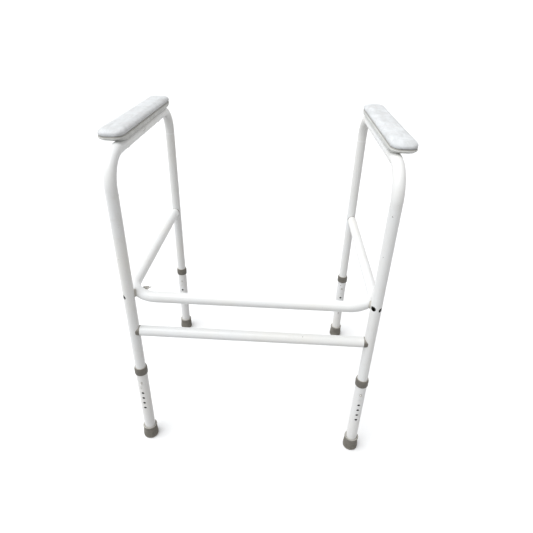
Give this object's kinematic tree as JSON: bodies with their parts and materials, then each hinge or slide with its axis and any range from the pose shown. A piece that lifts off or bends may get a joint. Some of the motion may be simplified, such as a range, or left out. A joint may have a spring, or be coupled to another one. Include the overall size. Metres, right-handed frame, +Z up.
{
  "type": "toilet safety frame",
  "caption": "Free-standing tubular toilet surround: inverted-U side frames with padded armrests, a U brace, a front crossbar and height-adjustable legs on rubber feet.",
  "frame": {"origin": "on the floor, under the middle of the footprint", "axes": "+Z up, +Y from the front legs (with the crossbar) to the rear legs, +X to the right"},
  "size_m": [0.6326, 0.5126, 0.8176],
  "materials": {
    "frame_paint": "semi-gloss off-white stove enamel with small chips",
    "sleeve_paint": "semi-gloss off-white stove enamel",
    "dark_plastic": "dark grey moulded plastic",
    "foot_rubber": "dusty dark grey rubber",
    "fastener_steel": "zinc-plated steel",
    "spring_steel": "bright spring steel",
    "base_plastic": "grey moulded armrest base",
    "trim_plastic": "dark groove strip under the cushion",
    "cushion_vinyl": "worn light grey vinyl"
  },
  "bodies": {
    "frame": {"side_frame_left": "frame_paint", "side_frame_right": "frame_paint", "u_brace": "frame_paint", "lower_crossbar": "frame_paint", "crossbar_plug_left": "dark_plastic", "brace_plug_left": "dark_plastic", "crossbar_bolt_left": "fastener_steel", "brace_end_bolt_left": "fastener_steel", "corner_saddle_left": "dark_plastic", "corner_bolt_left": "fastener_steel", "crossbar_plug_right": "dark_plastic", "brace_plug_right": "dark_plastic", "crossbar_bolt_right": "fastener_steel", "brace_end_bolt_right": "fastener_steel", "corner_saddle_right": "dark_plastic", "corner_bolt_right": "fastener_steel", "barrel_nut_right": "fastener_steel", "wing_nut_washer": "fastener_steel", "button_spring_front_left": "spring_steel", "button_spring_front_right": "spring_steel", "button_spring_rear_left": "spring_steel", "button_spring_rear_right": "spring_steel", "armrest_base_left": "base_plastic", "armrest_trim_left": "trim_plastic", "armrest_cushion_left": "cushion_vinyl", "armrest_screw_left_1": "fastener_steel", "armrest_screw_left_2": "fastener_steel", "armrest_base_right": "base_plastic", "armrest_trim_right": "trim_plastic", "armrest_cushion_right": "cushion_vinyl", "armrest_screw_right_1": "fastener_steel", "armrest_screw_right_2": "fastener_steel"},
    "leg_front_left": {"leg_sleeve_front_left": "sleeve_paint", "collar_front_left": "dark_plastic", "foot_front_left": "foot_rubber"},
    "button_front_left": {"snap_button_front_left": "fastener_steel"},
    "leg_front_right": {"leg_sleeve_front_right": "sleeve_paint", "collar_front_right": "dark_plastic", "foot_front_right": "foot_rubber"},
    "button_front_right": {"snap_button_front_right": "fastener_steel"},
    "leg_rear_left": {"leg_sleeve_rear_left": "sleeve_paint", "collar_rear_left": "dark_plastic", "foot_rear_left": "foot_rubber"},
    "button_rear_left": {"snap_button_rear_left": "fastener_steel"},
    "leg_rear_right": {"leg_sleeve_rear_right": "sleeve_paint", "collar_rear_right": "dark_plastic", "foot_rear_right": "foot_rubber"},
    "button_rear_right": {"snap_button_rear_right": "fastener_steel"},
    "wing_nut_body": {"wing_nut": "fastener_steel"}
  },
  "joints": [
    {"name": "leg_front_left_height", "type": "slide", "parent": "frame", "child": "leg_front_left", "axis": [0, 0, 1], "range_m": [0, 0.09], "deforming": ["snap_button_front_left", "button_spring_front_left"]},
    {"name": "leg_front_right_height", "type": "slide", "parent": "frame", "child": "leg_front_right", "axis": [0, 0, 1], "range_m": [0, 0.09], "deforming": ["snap_button_front_right", "button_spring_front_right"]},
    {"name": "leg_rear_left_height", "type": "slide", "parent": "frame", "child": "leg_rear_left", "axis": [0, 0, 1], "range_m": [0, 0.09], "deforming": ["snap_button_rear_left", "button_spring_rear_left"]},
    {"name": "leg_rear_right_height", "type": "slide", "parent": "frame", "child": "leg_rear_right", "axis": [0, 0, 1], "range_m": [0, 0.09], "deforming": ["snap_button_rear_right", "button_spring_rear_right"]},
    {"name": "button_front_left_press", "type": "slide", "parent": "frame", "child": "button_front_left", "axis": [0, 1, 0], "range_m": [0, 0.0055], "stiffness_N_per_m": 900, "springref_m": -0.004, "deforming": ["button_spring_front_left"]},
    {"name": "button_front_right_press", "type": "slide", "parent": "frame", "child": "button_front_right", "axis": [0, 1, 0], "range_m": [0, 0.0055], "stiffness_N_per_m": 900, "springref_m": -0.004, "deforming": ["button_spring_front_right"]},
    {"name": "button_rear_left_press", "type": "slide", "parent": "frame", "child": "button_rear_left", "axis": [0, 1, 0], "range_m": [0, 0.0055], "stiffness_N_per_m": 900, "springref_m": -0.004, "deforming": ["button_spring_rear_left"]},
    {"name": "button_rear_right_press", "type": "slide", "parent": "frame", "child": "button_rear_right", "axis": [0, 1, 0], "range_m": [0, 0.0055], "stiffness_N_per_m": 900, "springref_m": -0.004, "deforming": ["button_spring_rear_right"]},
    {"name": "wing_nut_turn", "type": "hinge", "parent": "frame", "child": "wing_nut_body", "pos_m": [-0.2497, -0.20919, 0.4665], "axis": [0.6871, 0.7265, 0], "continuous": true}
  ]
}
